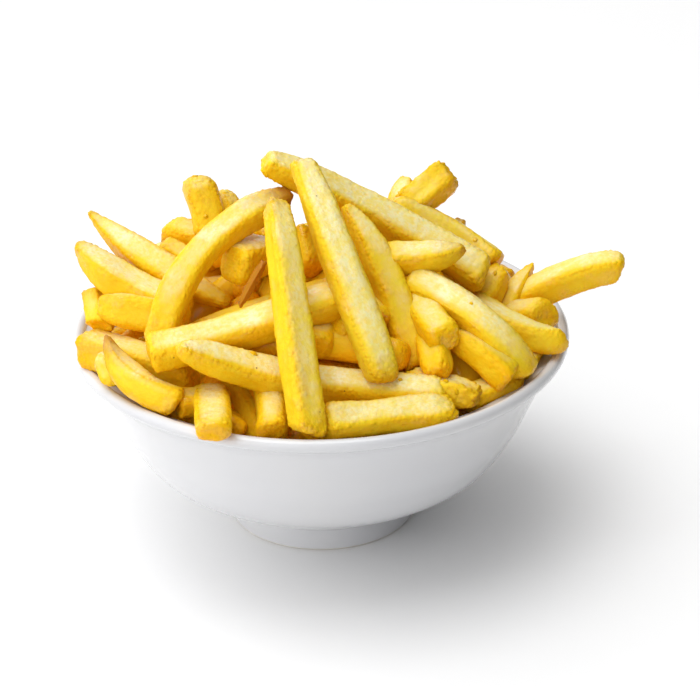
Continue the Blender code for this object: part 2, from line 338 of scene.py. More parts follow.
class FrySettings(bpy.types.PropertyGroup):
    # pale is also the painted light on the faces that look up
    pale: bpy.props.FloatVectorProperty(
        name="Pale",
        description="Colour of a lightly fried face",
        default=(0.88, 0.65, 0.028),
        subtype="COLOR",
        min=0,
        max=1,
    )
    # cream is also the painted highlight on the upper faces
    cream: bpy.props.FloatVectorProperty(
        name="Cream",
        description="Colour of the dry flecks on an upper face",
        default=(0.88, 0.79, 0.40),
        subtype="COLOR",
        min=0,
        max=1,
    )
    golden: bpy.props.FloatVectorProperty(
        name="Golden",
        description="Colour of a well fried face",
        default=(0.88, 0.51, 0.004),
        subtype="COLOR",
        min=0,
        max=1,
    )
    # amber is also the painted shade on the under faces
    amber: bpy.props.FloatVectorProperty(
        name="Amber",
        description="Colour of a thick crust",
        default=(0.95, 0.40, 0.002),
        subtype="COLOR",
        min=0,
        max=1,
    )
    brown: bpy.props.FloatVectorProperty(
        name="Brown",
        description="Colour of a crisp tip",
        default=(0.40, 0.15, 0.012),
        subtype="COLOR",
        min=0,
        max=1,
    )
    unevenness: bpy.props.FloatProperty(
        name="Unevenness",
        description="How far a face wanders from flat",
        default=0.7 * MM,
        min=0,
        unit="LENGTH",
    )
    inner_count: bpy.props.IntProperty(
        name="Fries inside",
        description="Fries packed under the ones that show",
        default=86,
        min=2,
    )
    crumb_count: bpy.props.IntProperty(
        name="Crumbs", description="Loose crumbs on the fries", default=22, min=0
    )
    seed: bpy.props.IntProperty(name="Seed", description="Start of the random draws", default=7)


class StageSettings(bpy.types.PropertyGroup):
    floor: bpy.props.FloatVectorProperty(
        name="Floor",
        description="Colour of the floor",
        default=(0.93, 0.93, 0.93),
        subtype="COLOR",
        min=0,
        max=1,
    )
    key: bpy.props.FloatProperty(
        name="Key", description="Power of the overhead softbox", default=5.0, min=0, unit="POWER"
    )
    fill: bpy.props.FloatProperty(
        name="Fill",
        description="Power of the card at the front left",
        default=1.2,
        min=0,
        unit="POWER",
    )
    sky: bpy.props.FloatProperty(
        name="Surround", description="Brightness of the room", default=1.45, min=0
    )


# ---------------------------------------------------------------- nodes


class Socket:
    """A node's output that Python's operators do maths on."""

    def __init__(self, nodes, out):
        self.nodes = nodes
        self.out = out

    def maths(self, operation, first, second, clamp=False):
        settings = {"operation": operation, "use_clamp": clamp}
        return self.nodes.node("ShaderNodeMath", settings, {0: first, 1: second})

    def __add__(self, other):
        return self.maths("ADD", self, other)

    __radd__ = __add__

    def __sub__(self, other):
        return self.maths("SUBTRACT", self, other)

    def __rsub__(self, other):
        return self.maths("SUBTRACT", other, self)

    def __mul__(self, other):
        return self.maths("MULTIPLY", self, other)

    __rmul__ = __mul__

    def clamped(self):
        return self.maths("ADD", self, 0.0, clamp=True)


class Nodes:
    """The nodes of one material, or of the room."""

    def __init__(self, tree):
        self.tree = tree

    def node(self, kind, settings=None, inputs=None, output=0):
        made = self.tree.nodes.new(kind)
        for key, value in (settings or {}).items():
            setattr(made, key, value)
        for key, value in (inputs or {}).items():
            self.feed(made.inputs[key], value)
        return Socket(self, made.outputs[output])

    def feed(self, socket, value):
        if isinstance(value, Socket):
            self.tree.links.new(value.out, socket)
        elif socket.type == "RGBA":
            socket.default_value = (*value, 1.0)
        else:
            socket.default_value = value

    def mix(self, factor, first, second):
        """One colour turning into the other with the factor."""
        inputs = {0: factor, 6: first, 7: second}
        return self.node("ShaderNodeMix", {"data_type": "RGBA"}, inputs, output=2)

    def between(self, value, low, high, start=0.0, end=1.0):
        """The value's way from low to high, eased, as a number from start to end."""
        settings = {"interpolation_type": "SMOOTHSTEP", "clamp": True}
        inputs = {0: value, 1: low, 2: high, 3: start, 4: end}
        return self.node("ShaderNodeMapRange", settings, inputs)

    def noise(self, place, size, detail=2.0, roughness=0.5):
        """Noise with blotches of this size in metres."""
        inputs = {"Vector": place, "Scale": 1 / size, "Detail": detail, "Roughness": roughness}
        return self.node("ShaderNodeTexNoise", {"noise_dimensions": "3D"}, inputs)

    def cells(self, place, size):
        """How far each place is from the middle of its cell, as a share of the cells' size."""
        inputs = {"Vector": place, "Scale": 1 / size}
        return self.node("ShaderNodeTexVoronoi", {"feature": "F1"}, inputs)

    def attribute(self, name, output="Fac"):
        return self.node("ShaderNodeAttribute", {"attribute_name": name}, output=output)

    def stretched(self, place, scale):
        return self.node("ShaderNodeVectorMath", {"operation": "MULTIPLY"}, {0: place, 1: scale})

    def bump(self, height, distance, strength, normal=None):
        inputs = {"Height": height, "Distance": distance, "Strength": strength}
        if normal is not None:
            inputs["Normal"] = normal
        return self.node("ShaderNodeBump", None, inputs)


class Shader(Nodes):
    """The nodes of one material, with its surface."""

    def __init__(self, name):
        self.material = bpy.data.materials.new(name)
        self.material.use_nodes = True
        super().__init__(self.material.node_tree)
        self.surface = self.tree.nodes["Principled BSDF"]

    def finish(self, **values):
        for name, value in values.items():
            label = name.replace("_", " ").title().replace("Ior", "IOR")
            self.feed(self.surface.inputs[label], value)
        return self.material


def porcelain(settings):
    """White glaze, a shade cooler in clouds, that ends at the ring the bowl stands on."""
    shader = Shader("white_glaze")
    place = shader.node("ShaderNodeTexCoord", output="Object")
    height = shader.node("ShaderNodeSeparateXYZ", None, {0: place}, output="Z")
    cloud = shader.noise(place, 0.045, 3.0)
    ripple = shader.noise(place, 0.03, 1.0)
    grit = shader.noise(place, 0.0006)
    bare = shader.between(height, 0.0011, 0.0006) * shader.between(height, -0.001, -0.0005)
    pinhole = shader.between(shader.cells(place, 0.021), 0.012, 0.004)

    glaze = tuple(settings.glaze)
    cool = tuple(c * share for c, share in zip(glaze, (0.975, 0.98, 0.995)))
    colour = shader.mix(shader.between(cloud, 0.35, 0.65), glaze, cool)
    colour = shader.mix(pinhole * 0.5, colour, PINHOLE)
    colour = shader.mix(bare, colour, tuple(settings.bisque))
    return shader.finish(
        base_color=colour,
        roughness=settings.gloss + cloud * 0.06 + bare * 0.45,
        coat_weight=0.6 - bare * 0.6,
        coat_roughness=0.04,
        ior=1.5,
        normal=shader.bump(ripple + bare * grit * 0.4, 0.0004, 0.5),
    )


def potato_crust(settings):
    """Blistered crust, golden at the edges and ends, with painted light: paler on the upper faces
    and, as painted shade, golden to amber below.

    A fry's attributes are grain, its own place in metres; crust, 1 at its edges and ends; tone, how
    deeply it is fried; the painted top light, how far a face looks up; and browned, how dark a tip
    or sliver is.
    """
    shader = Shader("potato_crust")
    grain = shader.attribute("grain", "Vector")
    crust, tone, top_light, browned = (
        shader.attribute(name) for name in ("crust", "tone", "top_light", "browned")
    )
    blotches = shader.noise(grain, 0.0075, 3.0, 0.55)
    mottle = shader.noise(grain, 0.0026, 4.0, 0.65)
    streaks = shader.noise(shader.stretched(grain, (1.0, 1.0, 0.6)), 0.0008)
    grit = shader.noise(grain, 0.00045, 2.0, 0.6)
    blister = shader.between(shader.cells(grain, 0.0016), 0.75, 0.1)
    spot = shader.between(shader.cells(grain, 0.0125), 0.035, 0.012)

    gold = shader.between(blotches * 0.6 + mottle * 0.25 + streaks * 0.15, 0.36, 0.64) * 0.6
    # painted shade and light: faces that look sideways or down turn golden and upper faces stay
    # pale, on top of the gold from tone, edges and ends
    gold = (gold + tone * 0.4 + crust * 0.6 + 0.35 - top_light * 0.5).clamped()
    flecks = shader.between(mottle * 0.65 + streaks * 0.35, 0.36, 0.62, 0.4, 1.1)
    # painted highlight: the cream flecks gather on the faces that look up, as if lit from above,
    # over the crust's own mottle
    mottled_highlight = top_light - crust * 0.55 - tone * 0.38 + (blotches - 0.5) * 0.6
    mottled_highlight = shader.between(mottled_highlight, 0.4, 1.15) * flecks
    # painted shade: amber deepens on the faces that look down, over the deep crust of dark-toned
    # fries, edges and mottle
    deep_and_shaded = tone * 0.6 + crust * 0.35 + mottle * 0.5 - top_light * 0.55
    deep_and_shaded = shader.between(deep_and_shaded, 0.25, 1.35) * 0.9
    dark = shader.between(browned + (mottle - 0.5) * 0.6, 0.05, 0.95) * 0.9

    colour = shader.mix(gold, tuple(settings.pale), tuple(settings.golden))
    colour = shader.mix(mottled_highlight, colour, tuple(settings.cream))
    colour = shader.mix(deep_and_shaded, colour, tuple(settings.amber))
    colour = shader.mix(dark, colour, tuple(settings.brown))
    colour = shader.mix(spot * 0.75, colour, DARK_SPOT)

    bulges = blister * (crust * 0.7 + 0.18) + streaks * 0.35 + mottle * 0.5
    bulging = shader.bump(bulges, 0.00045, 0.9)
    return shader.finish(
        base_color=colour,
        roughness=0.52 - crust * 0.08 + (mottle - 0.5) * 0.3,
        specular_ior_level=0.06,
        subsurface_weight=0.18,
        subsurface_radius=(0.005, 0.0018, 0.0002),
        subsurface_scale=1.0,
        coat_weight=shader.between(blotches, 0.5, 0.62, 0.12, 0.8),
        coat_roughness=0.2,
        normal=shader.bump(grit, 0.00012, 0.6, bulging),
    )


# ---------------------------------------------------------------- shapes


def new_piece(name, bm, material, node):
    """A finished piece on the body, in place of the solid of that name."""
    mesh = bpy.data.meshes.new(name)
    bm.to_mesh(mesh)
    bm.free()
    mesh.shade_smooth()
    piece = bpy.data.objects.new(name, mesh)
    bpy.context.scene.collection.objects.link(piece)
    mesh.materials.append(material)
    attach(piece, BODY)
    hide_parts(node)
    return piece


def smooth_through(stations, steps):
    """Points of a Catmull-Rom curve through the stations, with this many steps to each span."""
    known = [Vector(s) for s in stations]
    known = [2 * known[0] - known[1], *known, 2 * known[-1] - known[-2]]
    points = []
    for before, start, end, after in zip(known, known[1:], known[2:], known[3:]):
        for i in range(steps):
            t = i / steps
            linear = 2 * start + (end - before) * t
            square = (2 * before - 5 * start + 4 * end - after) * t**2
            cube = (3 * start - before - 3 * end + after) * t**3
            points.append((linear + square + cube) / 2)
    return [*points, known[-2]]


def arc(centre, radius, first, last, steps):
    """Points on a circle of the profile plane, from the first angle to the last in degrees."""
    angles = [math.radians(first + (last - first) * i / steps) for i in range(steps + 1)]
    x, y = centre
    return [Vector((x + radius * math.cos(a), y + radius * math.sin(a))) for a in angles]


def offset(points, distance):
    """The open outline moved to its left, which is the inside of a wall drawn upwards."""
    moved = []
    for i, point in enumerate(points):
        run = points[min(i + 1, len(points) - 1)] - points[max(i - 1, 0)]
        moved.append(point + distance * Vector((-run.y, run.x)).normalized())
    return moved


def inner_wall(distance=0.0):
    """The bowl's inside from the lip down to its middle, moved by distance towards the contents."""
    wall = offset(smooth_through(OUTER_WALL[2:], PROFILE_STEPS), WALL + distance)[::-1]
    floor = [(radius, height + distance) for radius, height in INNER_FLOOR]
    bend = smooth_through((wall[-1], *floor), PROFILE_STEPS)
    return [*wall, *bend[1:]]


def bowl_profile():
    """The bowl's outline from the axis underneath, out and up to the lip, and back down inside."""
    corner = FOOT_ROUNDING
    ring_inside = FOOT_RADIUS - FOOT_WIDTH
    lip = (RIM_RADIUS - LIP_RADIUS, BOWL_HEIGHT - LIP_RADIUS)
    return [
        Vector((0.0, RECESS)),
        Vector((ring_inside / 2, RECESS)),
        Vector((ring_inside - RECESS_ROUNDING, RECESS)),
        *arc((ring_inside + corner, corner), corner, 180, 270, PROFILE_STEPS),
        *arc((FOOT_RADIUS - corner, corner), corner, 270, 360, PROFILE_STEPS),
        *smooth_through(OUTER_WALL, PROFILE_STEPS),
        *arc(lip, LIP_RADIUS, -60, 180, LIP_STEPS),
        *inner_wall(),
    ]


def turned(profile, turns):
    """A closed bmesh turned about the bowl's axis from a profile whose two ends lie on it."""
    bm = bmesh.new()
    points = [bm.verts.new((p.x * MM, 0, p.y * MM)) for p in profile]
    edges = [bm.edges.new(pair) for pair in zip(points, points[1:])]
    bmesh.ops.spin(
        bm, geom=points + edges, axis=(0, 0, 1), angle=2 * math.pi, steps=turns, use_merge=True
    )
    bmesh.ops.remove_doubles(bm, verts=bm.verts, dist=MERGE_DISTANCE)
    bmesh.ops.recalc_face_normals(bm, faces=bm.faces)
    bmesh.ops.translate(bm, verts=bm.verts, vec=(RIM_MIDDLE.x, RIM_MIDDLE.y, 0))
    return bm


def dome_height(x, y):
    """Height over the rim's plane of the fries packed under the ones that show."""
    share = np.minimum(np.hypot(x, y) / RIM_RADIUS, 1.0)
    dome = DOME_PEAK * (1 - share**DOME_ROUNDNESS) + DOME_EDGE * share**4
    return np.minimum(dome, BACK_HEIGHT - BACK_SLOPE * y)


class Path:
    """The parabola through a fry's points, with the fry's own directions along it."""

    def __init__(self, fry, twist=0.0):
        self.start, self.end = np.array(fry.points[0], float), np.array(fry.points[-1], float)
        middle = (self.start + self.end) / 2
        if len(fry.points) == 3:
            middle = np.array(fry.points[1], float)
        self.pull = 2 * middle - (self.start + self.end) / 2
        self.length = float(np.linalg.norm(middle - self.start) + np.linalg.norm(self.end - middle))
        self.roll, self.twist = math.radians(fry.roll), math.radians(twist)

    def at(self, t):
        t = np.asarray(t, float)[:, None]
        return (1 - t) ** 2 * self.start + 2 * t * (1 - t) * self.pull + t**2 * self.end

    def directions(self, t):
        """Across and over the fry at each t, turned by its roll."""
        t = np.asarray(t, float)[:, None]
        ahead = (1 - t) * (self.pull - self.start) + t * (self.end - self.pull)
        ahead /= np.linalg.norm(ahead, axis=1)[:, None]
        across = np.cross((0.0, 0.0, 1.0), ahead)
        across /= np.linalg.norm(across, axis=1)[:, None]
        over = np.cross(ahead, across)
        turn = self.roll + self.twist * (t - 0.5)
        return (
            np.cos(turn) * across - np.sin(turn) * over,
            np.cos(turn) * over + np.sin(turn) * across,
        )


def bar(across, along):
    """A unit bar on the Z axis as a mesh, divided evenly both ways."""
    bm = bmesh.new()
    bmesh.ops.create_cube(bm, size=1.0, matrix=Matrix.Translation((0, 0, 0.5)))
    for cuts, lengthwise in ((along - 1, True), (across - 1, False)):
        rises = {e: abs(e.verts[0].co.z - e.verts[1].co.z) > TINY for e in bm.edges}
        edges = [e for e in bm.edges if rises[e] == lengthwise]
        bmesh.ops.subdivide_edges(bm, edges=edges, cuts=cuts, use_grid_fill=True)
    mesh = bpy.data.meshes.new("bar")
    bm.to_mesh(mesh)
    bm.free()
    return mesh


def rough(places, size, shift):
    """Noise at each place, with lumps of this size."""
    return np.array([noise.noise(Vector(p)) for p in places / size + shift])


def narrowing(way, end):
    """The width's share this far along, where an end narrows to end's share of it."""
    reach, share = end
    return share + (1 - share) * np.sin(np.clip(way / reach, 0, 1) * math.pi / 2)


def rounded(unit, length, corner, nose):
    """A unit bar's vertices laid on a bar of this length with rounded corners and ends.

    Gives each vertex's place on the section, from -1 to 1, its place along the bar, how far it is
    past the flat of its faces, from -1 to 1 each way, and the way out of the bar.
    """
    t = unit[:, 2] - END_CROWDING * np.sin(2 * math.pi * unit[:, 2]) / (2 * math.pi)
    along = t * length
    sides = unit[:, :2] * 2
    beyond = np.empty((len(unit), 3))
    beyond[:, :2] = np.sign(sides) * np.maximum(np.abs(sides) - (1 - corner), 0) / corner
    past_head, past_tail = np.maximum(along - (length - nose), 0), np.maximum(nose - along, 0)
    beyond[:, 2] = past_head / nose - past_tail / nose
    size = np.maximum(np.linalg.norm(beyond, axis=1), NO_LENGTH)
    rounding = np.abs(beyond).max(axis=1) / size
    section = np.clip(sides, corner - 1, 1 - corner) + beyond[:, :2] * rounding[:, None] * corner
    along = np.clip(along, nose, length - nose) + beyond[:, 2] * rounding * nose
    return section, along, beyond, beyond / size[:, None]


def shaped(mesh, fry, draw, unevenness):
    """Gives a unit bar the fry's path, section, tapers and crust."""
    count = len(mesh.vertices)
    unit = np.empty(count * 3)
    mesh.vertices.foreach_get("co", unit)
    unit = unit.reshape(-1, 3)
    path = Path(fry, draw.uniform(-TWIST, TWIST))
    length, width = path.length, fry.width
    corner = draw.uniform(*CORNER)
    nose = draw.uniform(*NOSE) * width
    shift = np.array([draw.uniform(-SHIFT, SHIFT) for _ in range(3)])
    section, along, beyond, outward = rounded(unit, length, corner, nose)

    # The section: dished faces, the tapers, and a width that comes and goes.
    dish = [draw.uniform(*DISH) for _ in range(2)]
    section[:, 0] *= 1 + dish[0] * (1 - section[:, 1] ** 2)
    section[:, 1] *= 1 + dish[1] * (1 - section[:, 0] ** 2)
    flat = fry.flat * draw.uniform(1 - FLATNESS_SPREAD, 1 + FLATNESS_SPREAD)
    way = along / length
    half = width / 2 * narrowing(way, fry.tail) * narrowing(1 - way, fry.head)
    line = np.stack((along, along * 0, along * 0), axis=1)
    wander = [1 + WANDER * rough(line, WANDER_LENGTH, shift + i) for i in range(2)]
    x, y = section[:, 0] * half * wander[0], section[:, 1] * half * flat * wander[1]

    # The ends: each leans and has a dimple.
    middle = (1 - section[:, 0] ** 2).clip(0), (1 - section[:, 1] ** 2).clip(0)
    for end, way in ((-1, along), (1, length - along)):
        near = np.clip(1 - way / (LEAN_REACH * width), 0, 1) ** 2
        lean = draw.uniform(-LEAN, LEAN), draw.uniform(-LEAN, LEAN)
        dimple = draw.uniform(*DIMPLE) * middle[0] * middle[1]
        dimple = dimple * (way < nose * DIMPLE_REACH)
        along = along + near * (lean[0] * x + lean[1] * y) - end * dimple

    # The crust: lumps all over, and blisters along the edges and at the ends.
    edge = np.sort(np.abs(beyond), axis=1)[:, 1]
    from_end = np.minimum(along, length - along)
    place = np.stack((x, y, along), axis=1)
    stretched = place * (1, 1, LUMP_STRETCH) + shift
    lumps = rough(stretched, LUMP_SIZE, shift)
    lumps = lumps + SMALL_LUMPS * rough(stretched, SMALL_LUMP_SIZE, shift[::-1])
    fine = rough(place, GRAIN_SIZE, shift)
    bubbles = np.abs(rough(place, BLISTER_SIZE, shift[[1, 2, 0]]))
    blistered = np.clip(edge * EDGE_BLISTERS + np.exp(-from_end / (BLISTERED_END * width)), 0, 1)
    rise = fry.lumps * unevenness / MM * (lumps + GRAIN_HEIGHT * fine + blistered * bubbles)
    place = place + outward * rise[:, None]

    t = place[:, 2] / length
    across, over = path.directions(t)
    sway = draw.uniform(-SWAY, SWAY) * np.sin(2 * math.pi * t + draw.uniform(0, 6))
    points = path.at(t) + across * (place[:, 0] + sway)[:, None] + over * place[:, 1][:, None]
    points = points * MM + np.array(RIM_MIDDLE)
    mesh.vertices.foreach_set("co", points.astype(np.float32).ravel())

    normals = np.empty(count * 3, np.float32)
    mesh.vertices.foreach_get("normal", normals)
    corners = CORNER_GOLD * np.abs(unit[:, :2] * 2).min(axis=1) ** CORNER_FADE
    tail, head = (np.exp(-way / (BROWNED_END * width)) for way in (along, length - along))
    numbers = {
        "crust": np.clip(corners + np.exp(-from_end / (GOLDEN_END * width)), 0, 1),
        "tone": np.full(count, fry.tone + draw.uniform(-TONE_SPREAD, TONE_SPREAD)),
        # painted light and shade: how far a face looks up, which pales and flecks the upper faces
        # and turns the lower ones golden to amber
        "top_light": normals.reshape(-1, 3)[:, 2],
        "browned": fry.crisp + fry.brown[0] * tail + fry.brown[1] * head,
    }
    for name, values in numbers.items():
        attribute = mesh.attributes.new(name, "FLOAT", "POINT")
        attribute.data.foreach_set("value", values.astype(np.float32))
    grain = mesh.attributes.new("grain", "FLOAT_VECTOR", "POINT")
    places = (place + shift * GRAIN_SHIFT) * MM
    grain.data.foreach_set("vector", places.astype(np.float32).ravel())


def fries_mesh(fries, seed, across, step, unevenness):
    """All the fries of one kind in one bmesh."""
    bm = bmesh.new()
    for number, fry in enumerate(fries):
        draw = random.Random(seed * SEED_STEP + number)
        mesh = bar(across, max(FEWEST_ALONG, round(Path(fry).length / step)))
        shaped(mesh, fry, draw, unevenness)
        bm.from_mesh(mesh)
        bpy.data.meshes.remove(mesh)
    return bm


def scattered(total, draw):
    """Two layers of fries under the dome: their lines from their middles, middles and widths."""
    lines, middles, widths = [], [], []
    layer = total // 2
    for i in range(total):
        reach = SPREAD * math.sqrt((i % layer + 0.5) / layer)
        turn = i * SPIRAL_TURN + draw.uniform(-TURN_SPREAD, TURN_SPREAD)
        x, y = reach * math.cos(turn), reach * math.sin(turn)
        heading = draw.uniform(0, math.pi)
        length = draw.uniform(*(LONG if reach < EDGE_OF_LONG else SHORT))
        step = np.array((math.cos(heading), math.sin(heading))) * SLOPE_STEP
        rise = dome_height(x + step[0], y + step[1]) - dome_height(x - step[0], y - step[1])
        slope = float(rise) / (2 * SLOPE_STEP) * SLOPE_SHARE
        slope = slope + draw.uniform(-SLOPE_SPREAD, SLOPE_SPREAD)
        ahead = np.array((math.cos(heading), math.sin(heading), slope))
        ahead /= np.linalg.norm(ahead)
        bow = np.cross(ahead, (0, 0, 1)) * draw.uniform(*SIDE_BOW)
        bow = bow + np.array((0, 0, draw.uniform(*UPWARD_BOW)))
        t = np.linspace(-0.5, 0.5, BEADS)[:, None]
        lines.append(ahead * t * length + bow * (0.25 - t**2) * 2)
        middles.append((x, y, float(dome_height(x, y)) - LAYER_DEPTHS[i >= layer]))
        widths.append(draw.uniform(*THICKNESS))
    return np.array(lines), np.array(middles), widths


def pushed_out(points, reach, others, others_reach, counts=True):
    """How far each ball is pushed out of the others, and the way to it from each of the others."""
    apart = points[:, None] - others[None]
    distance = np.linalg.norm(apart, axis=2) + TINY
    overlap = np.maximum(reach[:, None] + others_reach[None] - distance, 0) * counts
    return (apart / distance[..., None] * overlap[..., None]).sum(1), apart


def packed_fries(settings):
    """Fries packed under the ones that show, eased apart round by round with some overlap left."""
    draw = random.Random(settings.seed)
    total = settings.inner_count
    lines, middles, widths = scattered(total, draw)
    reach = np.repeat(np.array(widths) / 2, BEADS)
    owner = np.repeat(np.arange(total), BEADS)
    others = owner[:, None] != owner[None]
    shown = [*LONG_FRIES, *TAPERED_FRIES, *SHORT_FRIES, *BACK_FRIES]
    fixed = np.concatenate([Path(fry).at(np.linspace(0.04, 0.96, BEADS)) for fry in shown])
    fixed_reach = np.repeat([fry.width / 2 for fry in shown], BEADS)
    front = np.arange(len(fixed)) < len(fixed) - BEADS * len(BACK_FRIES)
    wall = np.array([(p.y - BOWL_HEIGHT, p.x) for p in inner_wall()][::-1])
    for _ in range(ROUNDS):
        points = (lines + middles[:, None]).reshape(-1, 3)
        x, y, z = points.T
        push = 0.5 * pushed_out(points, reach, points, reach, others)[0]
        out, apart = pushed_out(points, reach, fixed, fixed_reach)
        push += out

        # back inside the bowl, under the dome and the skyline
        away = np.hypot(x, y) + TINY
        room = np.interp(z, wall[:, 0], wall[:, 1], right=ROOM_OVER_RIM) - reach
        outside = np.maximum(away - room, 0)
        push[:, :2] -= points[:, :2] / away[:, None] * outside[:, None]
        push[:, 2] += LIFT * outside
        above = np.maximum(z + reach - dome_height(x, y) - 1, 0)
        seen = VIEW_SHARES[0] * y + VIEW_SHARES[1] * z + reach
        seen -= np.interp(x, SKYLINE_X, SKYLINE_HEIGHT)
        push[:, 2] -= SINK * above + SINK * np.maximum(seen, 0)

        # back behind the fries that show
        ahead = apart @ TO_VIEW
        beside = np.linalg.norm(apart - ahead[..., None] * TO_VIEW, axis=2)
        hiding = np.maximum(reach[:, None] + fixed_reach[None] - beside, 0) * (ahead > LEAST_AHEAD)
        hiding = hiding * front[None]
        push -= TO_VIEW * np.minimum(hiding.max(1), MOST_BACK)[:, None]

        push = push.reshape(total, BEADS, 3) * PUSH_SHARE
        middles += np.clip(push.mean(1), -MOST_MOVE, MOST_MOVE)
        spin = np.cross(lines, push).sum(1) / (lines**2).sum((1, 2))[:, None]
        lines += np.cross(np.clip(spin, -MOST_SPIN, MOST_SPIN)[:, None], lines)
    bent = (lines + middles[:, None])[:, [0, BEADS // 2, BEADS - 1]]
    fries = []
    for points, width in zip(bent, widths):
        roll, tone = draw.uniform(-INNER_ROLL, INNER_ROLL), draw.uniform(*INNER_TONES_AND_GAP_SHADE)
        fries.append(Fry(tuple(map(tuple, points)), width, roll, tone=tone))
    return fries


def crumb_place(number, draw):
    """Where a crumb falls: the first ones at places of their own, the others anywhere."""
    if number < len(CRUMB_PLACES):
        return CRUMB_PLACES[number]
    reach, turn = CRUMB_REACH * math.sqrt(draw.random()), draw.uniform(0, 2 * math.pi)
    return reach * math.cos(turn), reach * math.sin(turn)


def settings_of(context):
    return context.scene.bowl_settings, context.scene.fry_settings, context.scene.stage_settings


def potato(settings):
    return bpy.data.materials.get("potato_crust") or potato_crust(settings)


# ---------------------------------------------------------------- operators


class FRIES_OT_bowl(bpy.types.Operator):
    """Turns the glazed bowl on its ring foot"""

    bl_idname = "fries.bowl"
    bl_label = "Bowl"

    def execute(self, context):
        settings = settings_of(context)[0]
        bm = turned(bowl_profile(), settings.turns)
        piece = new_piece("porcelain_bowl", bm, porcelain(settings), "bowl")
        piece.data.set_sharp_from_angle(angle=math.radians(50))
        return {"FINISHED"}


class FRIES_OT_core(bpy.types.Operator):
    """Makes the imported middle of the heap, which shows only deep between the fries"""

    bl_idname = "fries.core"
    bl_label = "Packed middle"

    def execute(self, context):
        settings = settings_of(context)[1]
        level = BOWL_HEIGHT - CORE_DEPTH
        side = [p for p in inner_wall(CORE_CLEARANCE) if p.y < level - CORE_BANK]
        top = [Vector((side[0].x * i / CORE_RINGS, BOWL_HEIGHT)) for i in range(CORE_RINGS + 1)]
        bm = turned([*top, *side], CORE_TURNS)
        for vert in bm.verts:
            if vert.co.z > (BOWL_HEIGHT - 1) * MM:
                x, y = (vert.co.xy - RIM_MIDDLE.xy) / MM
                lumps = CORE_LUMPS * noise.noise(Vector((x, y, 0)) / CORE_LUMP_SIZE)
                vert.co.z = (level + lumps + float(dome_height(x, y))) * MM
        crust = bm.verts.layers.float.new("crust")
        tone = bm.verts.layers.float.new("tone")
        grain = bm.verts.layers.float_vector.new("grain")
        for vert in bm.verts:
            vert[crust], vert[tone], vert[grain] = CORE_CRUST, CORE_TONE_AND_GAP_SHADE, vert.co
        new_piece("packed_middle", bm, potato(settings), "heap")
        return {"FINISHED"}


class FryKind:
    """What the operators that make one kind of fry have in common."""

    fries = ()
    piece = ""
    seed = 0
    across = SHOWN_ACROSS
    step = SHOWN_STEP

    def execute(self, context):
        settings = settings_of(context)[1]
        seed = settings.seed + self.seed
        bm = fries_mesh(self.fries, seed, self.across, self.step, settings.unevenness)
        new_piece(self.piece, bm, potato(settings), "heap")
        return {"FINISHED"}


class FRIES_OT_long(FryKind, bpy.types.Operator):
    """Makes the long, blunt fries that lie across and lean on the heap"""

    bl_idname = "fries.long"
    bl_label = "Long fries"
    fries, piece, seed = LONG_FRIES, "long_fries", 1


class FRIES_OT_tapered(FryKind, bpy.types.Operator):
    """Makes the fries that narrow to a point"""

    bl_idname = "fries.tapered"
    bl_label = "Tapered fries"
    fries, piece, seed = TAPERED_FRIES, "tapered_fries", 2


class FRIES_OT_short(FryKind, bpy.types.Operator):
    """Makes the short fries and the ends that show between the long ones"""

    bl_idname = "fries.short"
    bl_label = "Short fries"
    fries, piece, seed = SHORT_FRIES, "short_fries", 3


class FRIES_OT_back(FryKind, bpy.types.Operator):
    """Makes the fries on the back of the heap"""

    bl_idname = "fries.back"
    bl_label = "Back fries"
    fries, piece, seed = BACK_FRIES, "back_fries", 4


class FRIES_OT_slivers(FryKind, bpy.types.Operator):
    """Makes the thin slivers that fried hard"""

    bl_idname = "fries.slivers"
    bl_label = "Crisp slivers"
    fries, piece, seed = CRISP_SLIVERS, "crisp_slivers", 5
    across, step = 6, 0.6


class FRIES_OT_inner(bpy.types.Operator):
    """Packs fries under the ones that show"""

    bl_idname = "fries.inner"
    bl_label = "Inner fries"

    def execute(self, context):
        settings = settings_of(context)[1]
        packed, seed = packed_fries(settings), settings.seed + INNER_SEED
        bm = fries_mesh(packed, seed, INNER_ACROSS, INNER_STEP, settings.unevenness)
        new_piece("inner_fries", bm, potato(settings), "heap")
        return {"FINISHED"}


